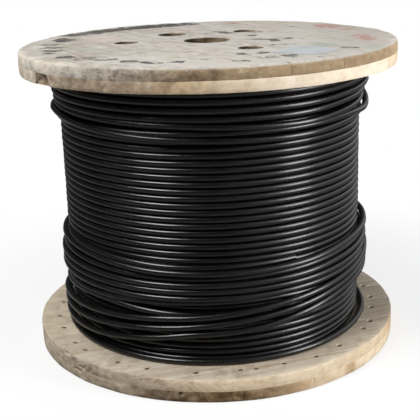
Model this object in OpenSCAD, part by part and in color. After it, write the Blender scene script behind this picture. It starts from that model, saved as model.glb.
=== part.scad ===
// Wooden cable drum standing on its end, filled with a winding of black cable.
// Each flange is two crossed layers of boards. Staves seated in grooves form the barrel,
// and tie rods inside the barrel draw the two flanges together.
// The origin is on the drum's axis, at the underside of the lower flange.

/* [Flanges] */
// Diameter of both flanges
flange_d = 650; // [600:5:750]
// Thickness of one board, two boards to a flange
board_t = 19; // [17:0.5:26]
// Boards on each side of a layer's middle board
side_boards = 2; // [1:1:3]
// Gap between neighbouring boards of a layer
board_gap = 1.5; // [0.5:0.1:3]
// Wood between a hole in the middle board and that board's edge
hole_edge = 7.5; // [5:0.5:15]
// Rounding of the rim's edges
rim_round = 6; // [1:0.5:8]
// Direction of the upper flange's inner boards
upper_turn = 30; // [24:1:36]
// Direction of the lower flange's inner boards
lower_turn = 18; // [14:1:22]

/* [Holes] */
// Diameter of the arbor hole on the axis
arbor_d = 80; // [60:1:100]
// Diameter of the drive hole
drive_d = 52; // [30:1:60]
// Wood between the drive hole and the inside of the barrel
drive_inset = 3; // [1.5:0.5:10]
// Direction of the drive hole
drive_turn = 122; // [110:1:130]

/* [Barrel] */
// Diameter of the barrel over the corners of its staves
barrel_d = 350; // [340:1:380]
// Number of staves
stave_count = 16; // [12:1:16]
// Thickness of a stave
stave_t = 22; // [16:0.5:24]
// Gap between neighbouring staves
stave_gap = 0.6; // [0.2:0.1:2]
// Depth of the groove that seats the end of a stave
stave_seat = 8; // [4:0.5:12]
// Side play of the staves in their groove
seat_play = 0.5; // [0.2:0.1:1]
// Clear width between the flanges
traverse = 450; // [350:1:550]

/* [Tie rods] */
// Number of tie rods
rod_count = 3; // [2:1:3]
// Diameter of a tie rod
rod_d = 12; // [8:1:14]
// Gap between a tie rod and the inside of the barrel
rod_inset = 3.5; // [1.5:0.5:12]
// Direction of the first tie rod
rod_turn = 60; // [55:1:70]
// Play of a tie rod in its hole, on the diameter
rod_play = 1; // [0.4:0.1:3]
// How far the ends of a tie rod lie below the flange faces
rod_sink = 1.5; // [0.5:0.1:3]
// Diameter of the recess for a nut and its washer
recess_d = 42; // [38:1:46]
// Depth of the recess
recess_depth = 15; // [13.5:0.1:16]
// Diameter of a washer
washer_d = 36; // [28:1:37]
// Thickness of a washer
washer_t = 3; // [1.5:0.1:4]
// Width of a nut across its flats
nut_w = 19; // [17:0.5:24]
// Thickness of a nut
nut_t = 10; // [7:0.5:10.5]

/* [Cable] */
// Diameter of the cable
cable_d = 11; // [8:0.5:16]
// Number of full layers on the barrel
winding_layers = 9; // [4:1:9]
// How far the loose outer turns stand out beyond the full layers
crest_rise = 12; // [6:0.5:14]
// Loose outer turns below the upper flange
top_crest_turns = 8; // [2:1:10]
// Loose outer turns in the lower half
low_crest_turns = 11; // [4:1:14]
// Turns left clear between the lower flange and the loose outer turns
low_crest_start = 3; // [1:1:6]
// Clearance of the winding from the barrel and the flanges
winding_play = 0.3; // [0.1:0.1:0.9]

/* [Hidden] */
$fn = 96;
flange_r = flange_d / 2;
flange_t = 2 * board_t;
drum_h = traverse + 2 * flange_t;
board_count = 2 * side_boards + 1;
barrel_r = barrel_d / 2;
stave_half = 180 / stave_count;
barrel_flat_r = barrel_r * cos(stave_half) - stave_t;
groove_r = [barrel_flat_r - seat_play, barrel_r + seat_play];
drive_r = barrel_flat_r - drive_inset - drive_d / 2;
rod_r = barrel_flat_r - rod_inset - rod_d / 2;
rod_hole_d = rod_d + rod_play;
bore_r = barrel_r + winding_play;
winding_w = traverse - 2 * winding_play;
turns = floor(winding_w / cable_d);
turn_pitch = (winding_w - cable_d) / (turns - 1);
layer_rise = sqrt(pow(cable_d, 2) - pow(turn_pitch / 2, 2));
first_turn_z = flange_t + winding_play + cable_d / 2;
first_layer_r = bore_r + winding_play + cable_d / 2;
last_layer_r = first_layer_r + (winding_layers - 1) * layer_rise;
crest_r = last_layer_r + crest_rise;

// The four layers of boards: name, underside, turn, whether it is an outer layer, and its rounded side
layers = [
    ["upper_outer_board", drum_h - board_t, upper_turn + 90, true, 1],
    ["upper_inner_board", drum_h - flange_t, upper_turn, false, -1],
    ["lower_inner_board", board_t, lower_turn, false, 1],
    ["lower_outer_board", 0, lower_turn + 90, true, -1]
];

function rod_angle(i) = rod_turn + 360 * (i - 1) / rod_count;

// Every hole of a layer, as its distance across the boards and its radius
function holes_across(turn, outer) = [
    [0, arbor_d / 2],
    [drive_r * sin(drive_turn - turn), drive_d / 2],
    for (i = [1 : rod_count]) [rod_r * sin(rod_angle(i) - turn), (outer ? recess_d : rod_hole_d) / 2]
];

// The middle board holds whole the arbor hole and each hole that comes near it
function near_holes(holes) = [for (h = holes) if (abs(h[0]) - h[1] < arbor_d / 2 + hole_edge) h];
function middle_low(near) = min([for (h = near) h[0] - h[1]]) - hole_edge;
function middle_high(near) = max([for (h = near) h[0] + h[1]]) + hole_edge;

// The joints of a layer: the middle board's edges, and even steps from there to the rim
function joints(turn, outer) =
    let (
        near = near_holes(holes_across(turn, outer)),
        low = middle_low(near),
        high = middle_high(near)
    ) [
        for (k = [side_boards - 1 : -1 : 0]) low - k * (flange_r + low) / side_boards,
        for (k = [0 : side_boards - 1]) high + k * (flange_r - high) / side_boards
    ];

module at_rod(i) {
    rotate(rod_angle(i))
        translate([rod_r, 0, 0])
            children();
}

// A full round layer, one board thick, with one of its rim edges rounded
module layer_disc(rounded_side) {
    edge = [for (a = [0 : 22.5 : 90])
        [flange_r - rim_round * (1 - cos(a)), board_t / 2 - rim_round * (1 - sin(a))]];
    translate([0, 0, board_t / 2])
        rotate([rounded_side > 0 ? 0 : 180, 0, 0])
            rotate_extrude()
                polygon(concat([[0, -board_t / 2], [flange_r, -board_t / 2]], edge, [[0, board_t / 2]]));
}

// The arbor hole, the drive hole and the tie rod holes, through everything
module flange_holes() {
    translate([0, 0, -1])
        cylinder(d = arbor_d, h = drum_h + 2);
    rotate(drive_turn)
        translate([drive_r, 0, -1])
            cylinder(d = drive_d, h = drum_h + 2);
    for (i = [1 : rod_count])
        at_rod(i)
            translate([0, 0, -1])
                cylinder(d = rod_hole_d, h = drum_h + 2);
}

// The recesses for the nuts and washers, in both outer faces
module nut_recesses() {
    for (i = [1 : rod_count])
        at_rod(i) {
            translate([0, 0, drum_h - recess_depth])
                cylinder(d = recess_d, h = recess_depth + 1);
            translate([0, 0, -1])
                cylinder(d = recess_d, h = recess_depth + 1);
        }
}

// The grooves for the staves, in both inner faces
module stave_grooves() {
    for (z = [flange_t - stave_seat, drum_h - flange_t])
        translate([0, 0, z])
            rotate_extrude()
                translate([groove_r[0], 0])
                    square([groove_r[1] - groove_r[0], stave_seat]);
}

module flange_board(layer, i) {
    cuts = joints(layer[2], layer[3]);
    low = i == 1 ? -flange_r - 1 : cuts[i - 2] + board_gap / 2;
    high = i == board_count ? flange_r + 1 : cuts[i - 1] - board_gap / 2;
    color(layer[3] ? "burlywood" : "wheat")
        difference() {
            translate([0, 0, layer[1]])
                intersection() {
                    layer_disc(layer[4]);
                    rotate(layer[2])
                        translate([-flange_r - 1, low, -1])
                            cube([flange_d + 2, high - low, board_t + 2]);
                }
            flange_holes();
            if (layer[3])
                nut_recesses();
            else
                stave_grooves();
        }
}

module barrel_stave(i) {
    outer_half = barrel_r * sin(stave_half) - stave_gap / 2;
    inner_half = outer_half - stave_t * tan(stave_half);
    outer_x = barrel_r * cos(stave_half);
    color("tan")
        rotate((2 * i - 1) * stave_half)
            translate([0, 0, flange_t - stave_seat])
                linear_extrude(traverse + 2 * stave_seat)
                    polygon([
                        [outer_x, -outer_half],
                        [outer_x, outer_half],
                        [outer_x - stave_t, inner_half],
                        [outer_x - stave_t, -inner_half]
                    ]);
}

module tie_rod(i) {
    color("dimgray")
        at_rod(i)
            translate([0, 0, rod_sink])
                cylinder(d = rod_d, h = drum_h - 2 * rod_sink);
}

// A hexagon nut that bears on the washer at the given height
module nut(i, z) {
    color("gray")
        at_rod(i)
            translate([0, 0, z])
                difference() {
                    cylinder(d = nut_w / cos(30), h = nut_t, $fn = 6);
                    translate([0, 0, -1])
                        cylinder(d = rod_d, h = nut_t + 2);
                }
}

module washer(i, z) {
    color("silver")
        at_rod(i)
            translate([0, 0, z])
                difference() {
                    cylinder(d = washer_d, h = washer_t);
                    translate([0, 0, -1])
                        cylinder(d = rod_hole_d, h = washer_t + 2);
                }
}

// The section of the winding: full layers, loose outer turns, and the turns that show on its ends
module winding_section() {
    last_turn_z = first_turn_z + (turns - 1) * turn_pitch;
    top_crest = [for (k = [turns - 1 - top_crest_turns : turns - 2]) first_turn_z + (k + 0.5) * turn_pitch];
    low_crest = [for (k = [0 : low_crest_turns - 1]) first_turn_z + (low_crest_start + k + 0.5) * turn_pitch];
    translate([bore_r, first_turn_z])
        square([last_layer_r - bore_r, last_turn_z - first_turn_z]);
    for (k = [0 : turns - 1])
        translate([last_layer_r, first_turn_z + k * turn_pitch])
            circle(d = cable_d, $fn = 24);
    for (i = [0 : winding_layers - 2], z = [first_turn_z, last_turn_z])
        translate([first_layer_r + i * layer_rise, z])
            circle(d = cable_d, $fn = 24);
    for (crest = [top_crest, low_crest]) {
        translate([bore_r + cable_d, crest[0]])
            square([crest_r - bore_r - cable_d, crest[len(crest) - 1] - crest[0]]);
        for (z = crest)
            translate([crest_r, z])
                circle(d = cable_d, $fn = 24);
    }
}

module cable_winding() {
    color([0.09, 0.09, 0.1])
        rotate_extrude()
            winding_section();
}

for (layer = layers)
    for (i = [1 : board_count])
        flange_board(layer, i);
for (i = [1 : stave_count])
    barrel_stave(i);
for (i = [1 : rod_count]) {
    tie_rod(i);
    nut(i, drum_h - recess_depth + washer_t);
    nut(i, recess_depth - washer_t - nut_t);
    washer(i, drum_h - recess_depth);
    washer(i, recess_depth - washer_t);
}
cable_winding();
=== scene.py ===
"""Looks of a wooden cable drum: weathered flange boards, barrel, tie rods and a winding of black cable."""

import logging
import math
from dataclasses import dataclass, field
from enum import Enum
from functools import reduce
from typing import Sequence

import bmesh
import bpy
from mathutils import Matrix, Vector, noise


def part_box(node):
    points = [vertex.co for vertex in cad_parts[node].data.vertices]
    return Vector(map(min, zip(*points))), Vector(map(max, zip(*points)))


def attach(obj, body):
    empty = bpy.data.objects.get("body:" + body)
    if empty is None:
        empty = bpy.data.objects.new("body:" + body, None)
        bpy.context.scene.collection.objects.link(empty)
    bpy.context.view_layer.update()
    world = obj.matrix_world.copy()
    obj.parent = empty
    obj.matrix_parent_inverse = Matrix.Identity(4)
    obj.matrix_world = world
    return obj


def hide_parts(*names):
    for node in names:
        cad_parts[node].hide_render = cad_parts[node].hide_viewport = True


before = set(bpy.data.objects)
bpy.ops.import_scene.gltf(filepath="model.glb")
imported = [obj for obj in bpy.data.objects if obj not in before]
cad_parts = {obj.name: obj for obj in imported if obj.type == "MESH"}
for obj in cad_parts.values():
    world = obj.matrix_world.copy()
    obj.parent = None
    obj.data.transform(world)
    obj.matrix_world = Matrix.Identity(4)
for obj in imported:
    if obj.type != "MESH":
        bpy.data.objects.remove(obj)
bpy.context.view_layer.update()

LOG = logging.getLogger("cable_drum")
MM = 0.001
MERGE = 1e-6
BODY = "root"

Colour = tuple[float, float, float, float]
Finish = bpy.types.Material
Outline = Sequence[tuple[float, float]]
Piece = bpy.types.Object
Shape = bmesh.types.BMesh
Socket = bpy.types.NodeSocket
Source = Socket | float | tuple

WHITE: Colour = (1.0, 1.0, 1.0, 1.0)


def srgb(red: int, green: int, blue: int) -> Colour:
    """Give a colour of the screen as linear light.

    Args:
        red: Level of red, from 0 to 255.
        green: Level of green, from 0 to 255.
        blue: Level of blue, from 0 to 255.

    Returns:
        The linear colour, opaque.
    """
    def linear(level: int) -> float:
        """Undo the screen's curve for one channel."""
        share = level / 255
        return share / 12.92 if share <= 0.04045 else ((share + 0.055) / 1.055) ** 2.4
    return linear(red), linear(green), linear(blue), 1.0


def polar(radius: float, degrees: float, height: float = 0.0) -> Vector:
    """Give the point at a radius, direction and height round the drum's axis."""
    turn = math.radians(degrees)
    return Vector((radius * math.cos(turn), radius * math.sin(turn), height))


def limited(value: float) -> float:
    """Keep a number between 0 and 1."""
    return min(1.0, max(0.0, value))


@dataclass(frozen=True)
class DrumSizes:
    """Sizes that several pieces share, as the solids have them."""

    height: float = 526 * MM
    radius: float = 325 * MM
    board_t: float = 19 * MM
    rod_out: float = 140.137 * MM
    rod_turns: tuple[float, ...] = (60.0, 180.0, 300.0)
    rod_hole_r: float = 6.5 * MM
    recess_depth: float = 15 * MM


DRUM = DrumSizes()


class Cut(Enum):
    """How a second shape works on a mesh."""

    DIFFERENCE = "DIFFERENCE"
    INTERSECT = "INTERSECT"


class Layer(Enum):
    """The four layers of flange boards, by the name that their nodes start with."""

    UPPER_OUTER = "upper_outer_board"
    UPPER_INNER = "upper_inner_board"
    LOWER_INNER = "lower_inner_board"
    LOWER_OUTER = "lower_outer_board"

    def floor(self) -> float:
        """Work out how high the layer lies.

        Returns:
            The height of its underside.
        """
        from_top = {Layer.UPPER_OUTER: 1, Layer.UPPER_INNER: 2}
        from_ground = {Layer.LOWER_INNER: 1, Layer.LOWER_OUTER: 0}
        if self in from_top:
            return DRUM.height - from_top[self] * DRUM.board_t
        return from_ground[self] * DRUM.board_t

    def is_inner(self) -> bool:
        """Say whether the layer faces the winding."""
        return self in (Layer.UPPER_INNER, Layer.LOWER_INNER)

    def rounded_above(self) -> bool:
        """Say whether the rounded edge of the rim is on the layer's upper side."""
        return self in (Layer.UPPER_OUTER, Layer.LOWER_INNER)


# Shapes


def turned(profile: Outline, steps: int = 48, ring: bool = False) -> Shape:
    """Spin a profile round the Z axis into a closed shape.

    Args:
        profile: Points as radius and height, from one end to the other.
        steps: Number of segments round the axis.
        ring: Whether the profile closes on itself instead of ending on the axis.

    Returns:
        A new bmesh with merged poles and outward normals.
    """
    bm = bmesh.new()
    points = [bm.verts.new((radius, 0.0, height)) for radius, height in profile]
    edges = [bm.edges.new(pair) for pair in zip(points, points[1:])]
    if ring:
        edges.append(bm.edges.new((points[-1], points[0])))
    bmesh.ops.spin(bm, geom=points + edges, axis=(0, 0, 1), cent=(0, 0, 0), angle=math.tau,
                   steps=steps, use_merge=True)
    bmesh.ops.remove_doubles(bm, verts=bm.verts, dist=MERGE)
    bmesh.ops.recalc_face_normals(bm, faces=bm.faces)
    return bm


def gather(shapes: Sequence[tuple[Shape, Matrix]]) -> Shape:
    """Put several shapes, each at its own place, into one.

    Args:
        shapes: Each shape with the matrix that places it. The shapes are used up.

    Returns:
        One bmesh that holds them all.
    """
    whole = bmesh.new()
    for bm, place in shapes:
        bmesh.ops.transform(bm, matrix=place, verts=bm.verts)
        mesh = bpy.data.meshes.new("part_shape")
        bm.to_mesh(mesh)
        bm.free()
        whole.from_mesh(mesh)
        bpy.data.meshes.remove(mesh)
    return whole


def round_edges(bm: Shape, edges: list[bmesh.types.BMEdge], size: float, segments: int) -> None:
    """Round some edges of a shape.

    Args:
        bm: The shape, which is changed.
        edges: The edges.
        size: Size of the rounding.
        segments: Number of faces across it.
    """
    bmesh.ops.bevel(bm, geom=edges, offset=size, offset_type="OFFSET", affect="EDGES", segments=segments,
                    profile=0.5, material=-1, clamp_overlap=True)


def slice_at(bm: Shape, spot: Vector, normal: Vector, drop_outer: bool = False) -> None:
    """Cut a shape's faces along a plane.

    Args:
        bm: The shape, which is changed.
        spot: A point on the plane.
        normal: The plane's direction.
        drop_outer: Whether what lies beyond the plane is taken away.
    """
    bmesh.ops.bisect_plane(bm, geom=bm.verts[:] + bm.edges[:] + bm.faces[:], dist=MERGE, plane_co=spot,
                           plane_no=normal, clear_outer=drop_outer)


def placed(name: str, data: bpy.types.ID) -> Piece:
    """Put a new object into the scene.

    Args:
        name: Name of the object.
        data: Its mesh, curve, lamp or camera.

    Returns:
        The new object.
    """
    piece = bpy.data.objects.new(name, data)
    bpy.context.scene.collection.objects.link(piece)
    return piece


def as_object(bm: Shape, name: str) -> Piece:
    """Make an object at the origin from a bmesh, and free the bmesh.

    Args:
        bm: The finished shape.
        name: Name of the object and its mesh.

    Returns:
        The new object.
    """
    mesh = bpy.data.meshes.new(name)
    bm.to_mesh(mesh)
    bm.free()
    return placed(name, mesh)


def final_mesh(piece: Piece) -> bpy.types.Mesh:
    """Give the mesh that an object shows, with its modifiers worked in."""
    bpy.context.view_layer.update()
    return bpy.data.meshes.new_from_object(piece.evaluated_get(bpy.context.evaluated_depsgraph_get()))


def carve(piece: Piece, tool: Shape, how: Cut = Cut.DIFFERENCE) -> None:
    """Cut a mesh with another shape.

    Args:
        piece: The object that is cut.
        tool: The closed shape that cuts it. It is used up.
        how: Whether the tool's volume is taken out, or is all that stays.
    """
    cutter = as_object(tool, "cutter")
    boolean = piece.modifiers.new("cut", "BOOLEAN")
    boolean.operation = how.value
    boolean.solver = "EXACT"
    boolean.object = cutter
    mesh = final_mesh(piece)
    piece.modifiers.clear()
    piece.data = mesh
    spent = cutter.data
    bpy.data.objects.remove(cutter)
    bpy.data.meshes.remove(spent)


def soften(piece: Piece, degrees: float = 38.0) -> None:
    """Shade a mesh smooth, and keep the edges sharper than an angle crisp."""
    piece.data.shade_smooth()
    piece.data.set_sharp_from_angle(angle=math.radians(degrees))


def paint(piece: Piece, finish: Finish) -> None:
    """Make a finish a mesh's only material."""
    piece.data.materials.clear()
    piece.data.materials.append(finish)


def dress(piece: Piece, finish: Finish, slot: str, *nodes: str) -> None:
    """Give a piece its finish and its body, hide the solids that it replaces, and report it.

    Args:
        piece: The finished object.
        finish: Its material.
        slot: Not used.
        nodes: Names of the solids that it replaces.
    """
    paint(piece, finish)
    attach(piece, BODY)
    if nodes:
        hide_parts(*nodes)
    piece.data.calc_loop_triangles()
    LOG.info("%s: %d triangles", piece.name, len(piece.data.loop_triangles))


# Finishes


class Nodes:
    """A node tree, with a short call for each kind of node that is used."""

    def __init__(self, tree: bpy.types.NodeTree) -> None:
        """Take the tree that the nodes go into."""
        self.tree = tree

    def plug(self, socket: Socket, value: Source) -> None:
        """Link a socket to another one, or set its value.

        Args:
            socket: The input that is set.
            value: The output that it is linked to, or a constant.
        """
        if isinstance(value, bpy.types.NodeSocket):
            self.tree.links.new(value, socket)
        else:
            socket.default_value = value

    def put(self, kind: str, inputs: dict[int | str, Source], **settings: object) -> bpy.types.Node:
        """Add a node.

        Args:
            kind: The node's type name, without its prefix.
            inputs: A value or a socket for each input that is used.
            settings: The node's own properties.

        Returns:
            The new node.
        """
        node = self.tree.nodes.new("ShaderNode" + kind)
        for key, value in settings.items():
            setattr(node, key, value)
        for key, value in inputs.items():
            self.plug(node.inputs[key], value)
        return node

    def calc(self, operation: str, a: Source, b: Source = 0.0, clamp: bool = False) -> Socket:
        """Work out a number from one or two others."""
        return self.put("Math", {0: a, 1: b}, operation=operation, use_clamp=clamp).outputs[0]

    def times(self, *factors: Source) -> Source:
        """Multiply numbers."""
        return reduce(lambda a, b: self.calc("MULTIPLY", a, b), factors)

    def weigh(self, a: Source, share_a: float, b: Source, share_b: float) -> Socket:
        """Add two numbers, each with its own weight."""
        return self.calc("ADD", self.times(a, share_a), self.times(b, share_b))

    def vector(self, operation: str, a: Source, b: Source) -> Socket:
        """Work out a vector, or the number that a dot product or a length gives."""
        node = self.put("VectorMath", {0: a, 1: b}, operation=operation)
        return node.outputs["Value" if operation in ("DOT_PRODUCT", "LENGTH") else "Vector"]

    def part(self, vector: Source, axis: int) -> Socket:
        """Take one of a vector's three numbers."""
        return self.put("SeparateXYZ", {0: vector}).outputs[axis]

    def noise(self, place: Source, scale: float, detail: float, rough: float) -> bpy.types.Node:
        """Add a soft random pattern."""
        return self.put("TexNoise", {"Vector": place, "Scale": scale, "Detail": detail, "Roughness": rough})

    def patches(self, place: Source, scale: float, detail: float = 3.0, rough: float = 0.5) -> Socket:
        """Give a soft random pattern from 0 to 1."""
        return self.noise(place, scale, detail, rough).outputs[0]

    def sway(self, place: Source, scale: float, detail: float, rough: float, reach: tuple) -> Socket:
        """Give a soft random shift, up to half its reach to each side."""
        colour = self.noise(place, scale, detail, rough).outputs["Color"]
        return self.vector("MULTIPLY", self.vector("SUBTRACT", colour, (0.5, 0.5, 0.5)), reach)

    def step(self, value: Source, low: float, high: float, least: float = 0.0, most: float = 1.0) -> Socket:
        """Ease a number from least to most, between two limits."""
        limits = {"Value": value, "From Min": low, "From Max": high, "To Min": least, "To Max": most}
        return self.put("MapRange", limits, interpolation_type="SMOOTHSTEP").outputs[0]

    def blend(self, share: Source, a: Source, b: Source) -> Socket:
        """Mix two colours."""
        return self.put("Mix", {0: share, 6: a, 7: b}, data_type="RGBA", clamp_factor=True).outputs[2]

    def attribute(self, name: str) -> bpy.types.Node:
        """Read one of the mesh's own attributes."""
        return self.put("Attribute", {}, attribute_name=name)

    def object_place(self) -> Socket:
        """Read the place on the object, in metres."""
        return self.put("TexCoord", {}).outputs["Object"]

    def normal(self) -> Socket:
        """Read the direction that the surface faces."""
        return self.put("NewGeometry", {}).outputs["Normal"]

    def relief(self, height: Source, depth: float, strength: float) -> Socket:
        """Turn a height pattern into a bumped normal."""
        return self.put("Bump", {"Height": height, "Distance": depth, "Strength": strength}).outputs[0]


class Sheet(Nodes):
    """The nodes of one material, round its shader."""

    def __init__(self, name: str) -> None:
        """Start a material that holds only its shader.

        Args:
            name: Name of the material.
        """
        self.material = bpy.data.materials.new(name)
        self.material.use_nodes = True
        super().__init__(self.material.node_tree)
        self.shader = self.tree.nodes["Principled BSDF"]

    def shade(self, **inputs: Source) -> None:
        """Set or link the shader's own sockets.

        Args:
            inputs: A value or a socket for each, by its name in lower case with underscores.
        """
        for key, value in inputs.items():
            name = key.replace("_", " ").title().replace("Ior", "IOR")
            self.plug(self.shader.inputs[name], value)


@dataclass(frozen=True)
class Smudge:
    """A patch on the upper face: middle and half sizes in millimetres, turn in degrees, and strength."""

    x: float
    y: float
    half_x: float
    half_y: float
    turn: float
    strength: float


@dataclass(frozen=True)
class Ink:
    """Patches of one colour on the upper face, worn down to smudges."""

    colour: Colour
    smudges: tuple[Smudge, ...]

    def cover(self, sheet: Sheet, place: Socket) -> Source:
        """Work out how much colour lies at a place, before it is worn.

        Args:
            sheet: The material that is being made.
            place: The place on the object.

        Returns:
            The amount, from 0 to 1.
        """
        most: Source = 0.0
        for smudge in self.smudges:
            spot = sheet.put("Mapping", {"Vector": place,
                                         "Location": (smudge.x * MM, smudge.y * MM, DRUM.height),
                                         "Rotation": (0.0, 0.0, math.radians(smudge.turn)),
                                         "Scale": (smudge.half_x * MM, smudge.half_y * MM, 1.0)},
                             vector_type="TEXTURE").outputs[0]
            off = sheet.vector("LENGTH", spot, (0.0, 0.0, 0.0))
            most = sheet.calc("MAXIMUM", most, sheet.step(off, 1.25, 0.55, 0.0, smudge.strength))
        return most


@dataclass(frozen=True)
class WoodPatterns:
    """The patterns that a wood's colours share.

    place and grain are places on the object and in the board. across is the place from -X to +X in metres.
    fresh and stain are the board's own. The others, from 0 to 1, show late wood, knots, fibres, streaks,
    clouds, spots, end grain and upright faces.
    """

    place: Socket
    grain: Socket
    across: Socket
    fresh: Source
    # stain also carries the painted shade of hole walls.
    stain: Source
    late: Source
    knots: Source
    fibres: Socket
    streaks: Socket
    clouds: Socket
    spots: Socket
    ends: Socket
    upright: Socket


@dataclass(frozen=True)
class WoodFinish:
    """Weathered softwood in the board's own directions: growth rings, fibres, knots, end grain and soil."""

    name: str
    worn: Colour = srgb(196, 185, 167)
    fresh: Colour = srgb(240, 219, 187)
    late: Colour = srgb(156, 124, 86)
    rim: Colour = srgb(198, 162, 112)
    rim_share: float = 0.48
    knot: Colour = srgb(104, 66, 38)
    soil: Colour = srgb(104, 84, 58)
    soil_share: float = 0.4
    stain: Colour = srgb(80, 58, 32)
    # Painted shade: near black on the -X side of hole walls.
    hole_shade: Colour = srgb(32, 27, 24)
    bleach: Colour = srgb(250, 236, 216)
    inks: tuple[Ink, ...] = ()

    def grain_place(self, sheet: Sheet) -> Socket:
        """Read the place along, across and through the board."""
        return sheet.attribute("grain").outputs["Vector"]

    def run_direction(self, sheet: Sheet) -> Source:
        """Read the direction that the board's fibres run in."""
        return sheet.attribute("run").outputs["Vector"]

    def freshness(self, sheet: Sheet) -> Source:
        """Read how fresh the board is, from 0 for grey to 1 for cream."""
        return sheet.attribute("fresh").outputs["Fac"]

    def staining(self, sheet: Sheet) -> Source:
        """Read how stained the wood is, from -1 for bleached to 1 for dark, and on hole walls the painted
        shade, up to about 2 for black on their -X side.
        """
        return sheet.attribute("stain").outputs["Fac"]

    def patterns(self, sheet: Sheet) -> WoodPatterns:
        """Lay out the patterns that the colours share.

        Args:
            sheet: The material that is being made.

        Returns:
            The patterns.
        """
        place, grain, normal = sheet.object_place(), self.grain_place(sheet), sheet.normal()

        def drawn_out(share: float) -> Socket:
            """Stretch the place in the board along its fibres."""
            return sheet.vector("MULTIPLY", grain, (share, 1.0, 1.0))

        bend = sheet.sway(drawn_out(0.16), 7.0, 2.0, 0.5, (0.0, 0.075, 0.075))
        knot_place = sheet.vector("MULTIPLY", grain, (0.62, 1.0, 0.15))
        cell = sheet.put("TexVoronoi", {"Vector": knot_place, "Scale": 8.0})
        picked = sheet.step(sheet.put("SeparateColor", {0: cell.outputs["Color"]}).outputs[0], 0.70, 0.72)
        near_knot = sheet.times(sheet.step(cell.outputs["Distance"], 0.30, 0.0), picked)
        waves = {"Vector": sheet.vector("ADD", drawn_out(0.16), bend), "Scale": 84.0, "Detail": 2.0,
                 "Detail Scale": 1.4, "Distortion": sheet.times(near_knot, 9.0),
                 "Phase Offset": sheet.times(near_knot, 14.0)}
        rings = sheet.put("TexWave", waves, wave_type="RINGS", rings_direction="X").outputs["Fac"]
        facing = sheet.vector("DOT_PRODUCT", normal, self.run_direction(sheet))
        ends = sheet.step(sheet.calc("ABSOLUTE", facing), 0.25, 0.95)
        return WoodPatterns(
            place=place, grain=grain, across=sheet.part(place, 0),
            fresh=self.freshness(sheet), stain=self.staining(sheet),
            late=sheet.times(sheet.step(rings, 0.45, 0.98), sheet.step(ends, 0.0, 1.0, 1.0, 0.45)),
            knots=sheet.times(sheet.step(cell.outputs["Distance"], 0.105, 0.075), picked),
            fibres=sheet.patches(drawn_out(0.022), 620.0, 4.0, 0.62),
            streaks=sheet.patches(drawn_out(0.05), 85.0, 3.0, 0.55),
            clouds=sheet.patches(place, 7.0, 5.0, 0.58), spots=sheet.patches(place, 46.0, 4.0, 0.66),
            ends=ends, upright=sheet.step(sheet.calc("ABSOLUTE", sheet.part(normal, 2)), 0.75, 0.35))

    def sound_wood(self, sheet: Sheet, see: WoodPatterns) -> Socket:
        """Draw the wood itself: growth rings, streaks, fibres, knots and end grain.

        Args:
            sheet: The material that is being made.
            see: The wood's patterns.

        Returns:
            The wood's colour.
        """
        clear = sheet.step(see.upright, 0.0, 1.0, 1.0, 0.3)
        drift = sheet.times(sheet.calc("SUBTRACT", see.clouds, 0.5), 0.9)
        colour = sheet.blend(sheet.calc("ADD", see.fresh, drift), self.worn, self.fresh)
        colour = sheet.blend(sheet.times(see.late, clear, 0.28), colour, self.late)
        streaked = sheet.step(see.streaks, 0.52, 0.78, 0.0, 0.40)
        colour = sheet.blend(sheet.times(streaked, clear), colour, self.late)
        colour = sheet.blend(sheet.step(see.fibres, 0.30, 0.72, 0.24, 0.0), colour, self.soil)
        colour = sheet.blend(sheet.times(see.knots, 0.85), colour, self.knot)
        end_tone = sheet.step(sheet.patches(see.grain, 160.0, 3.0, 0.6), 0.30, 0.75, 0.20, 0.50)
        return sheet.blend(sheet.times(see.ends, end_tone), colour, self.late)

    def worn_rim(self, sheet: Sheet, see: WoodPatterns, colour: Socket) -> Socket:
        """Tan the rims, and scar them, most on the drum's -X side.

        Args:
            sheet: The material that is being made.
            see: The wood's patterns.
            colour: The wood's colour so far.

        Returns:
            The colour with worn rims.
        """
        tanned = sheet.step(see.across, -0.22, 0.02, 0.3 * self.rim_share, self.rim_share)
        colour = sheet.blend(sheet.times(see.upright, tanned), colour, self.rim)
        scars = sheet.patches(sheet.vector("MULTIPLY", see.place, (1.0, 1.0, 1.6)), 62.0, 6.0, 0.74)
        battered = sheet.times(see.upright, sheet.step(see.across, -0.05, 0.2, 1.0, 0.4))
        worse = sheet.times(sheet.step(see.fresh, 0.0, 0.6, 0.78, 0.35), sheet.step(scars, 0.50, 0.62))
        colour = sheet.blend(sheet.times(battered, worse), colour, self.soil)
        bared = sheet.step(scars, 0.47, 0.33, 0.0, 0.48)
        return sheet.blend(sheet.times(battered, bared), colour, self.bleach)

    def soiled(self, sheet: Sheet, see: WoodPatterns, colour: Socket) -> Socket:
        """Lay soil in patches, the board's stains and the painted shade of hole walls over the wood, and grey
        the rims on the drum's -X side.

        Args:
            sheet: The material that is being made.
            see: The wood's patterns.
            colour: The wood's colour so far.

        Returns:
            The colour with soil, stains and the painted shade of hole walls.
        """
        grime = sheet.weigh(see.spots, 0.55, see.clouds, 0.45)
        lean = sheet.step(see.across, -0.30, 0.30, 0.065, -0.05)
        dirty = sheet.step(sheet.calc("ADD", grime, lean), 0.47, 0.66)
        colour = sheet.blend(sheet.times(dirty, self.soil_share), colour, self.soil)
        # On hole walls stain is painted shade, so the stain blend below darkens them by their side too.
        mottled = sheet.step(sheet.weigh(see.spots, 0.6, see.streaks, 0.4), 0.36, 0.62, 0.52, 1.0)
        darkened = sheet.calc("MULTIPLY", see.stain, sheet.times(mottled, 0.9), clamp=True)
        colour = sheet.blend(darkened, colour, self.stain)
        bleached = sheet.calc("MULTIPLY", see.stain, sheet.step(see.spots, 0.35, 0.7, -1.0, -0.6), clamp=True)
        colour = sheet.blend(bleached, colour, self.bleach)
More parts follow.
